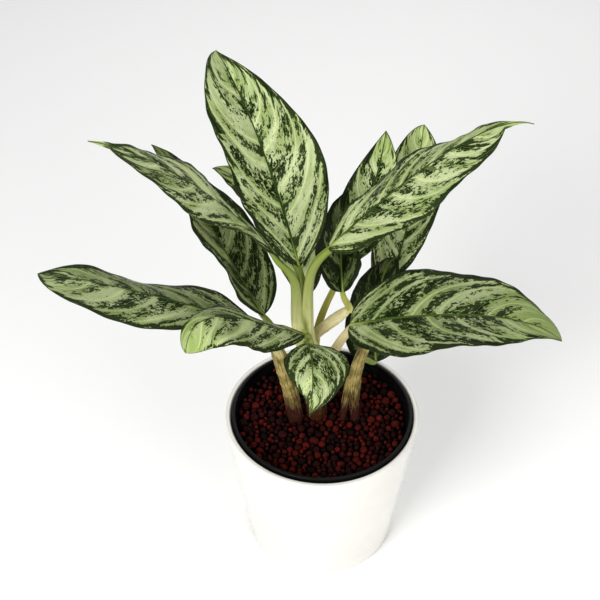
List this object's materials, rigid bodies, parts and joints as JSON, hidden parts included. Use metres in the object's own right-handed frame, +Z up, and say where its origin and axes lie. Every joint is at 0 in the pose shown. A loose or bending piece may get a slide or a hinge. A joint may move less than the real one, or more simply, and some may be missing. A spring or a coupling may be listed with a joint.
{
  "type": "potted chinese evergreen",
  "caption": "Potted Chinese evergreen: broad silver-green leaves with dark flecks on short canes, in a clay pebble bed, in a black grow pot that stands in a round white planter.",
  "frame": {"origin": "middle of the planter's flat underside, on the surface that it stands on", "axes": "+Z up, +Y away from the viewer of the picture, +X to the viewer's right"},
  "size_m": [0.4556, 0.2606, 0.5174],
  "materials": {
    "planter": "smooth white glaze, soft gloss",
    "grow_pot": "moulded black plastic, satin",
    "clay_pebbles": "fired clay pebbles, matt, dark red brown",
    "green_stem": "smooth pale green leaf sheaths, browner low down",
    "tan_cane": "old cane, tan, with ring scars and fine streaks",
    "leaf": "waxy leaf, silver green with dark flecks between pale side veins"
  },
  "bodies": {
    "root": {"planter": "planter", "grow_pot": "grow_pot", "pebble_bed": "clay_pebbles", "main_stem": "green_stem", "left_cane": "tan_cane", "second_stem": "tan_cane", "side_branch": "tan_cane", "leaf_crown": "leaf", "leaf_upper_left": "leaf", "leaf_upper_right": "leaf", "leaf_hanging_left": "leaf", "leaf_far_left": "leaf", "leaf_lower_left": "leaf", "leaf_front": "leaf", "leaf_back_left": "leaf", "leaf_dark_centre": "leaf", "leaf_back_centre": "leaf", "leaf_back_right": "leaf", "leaf_behind_right": "leaf", "leaf_right": "leaf"}
  },
  "joints": []
}
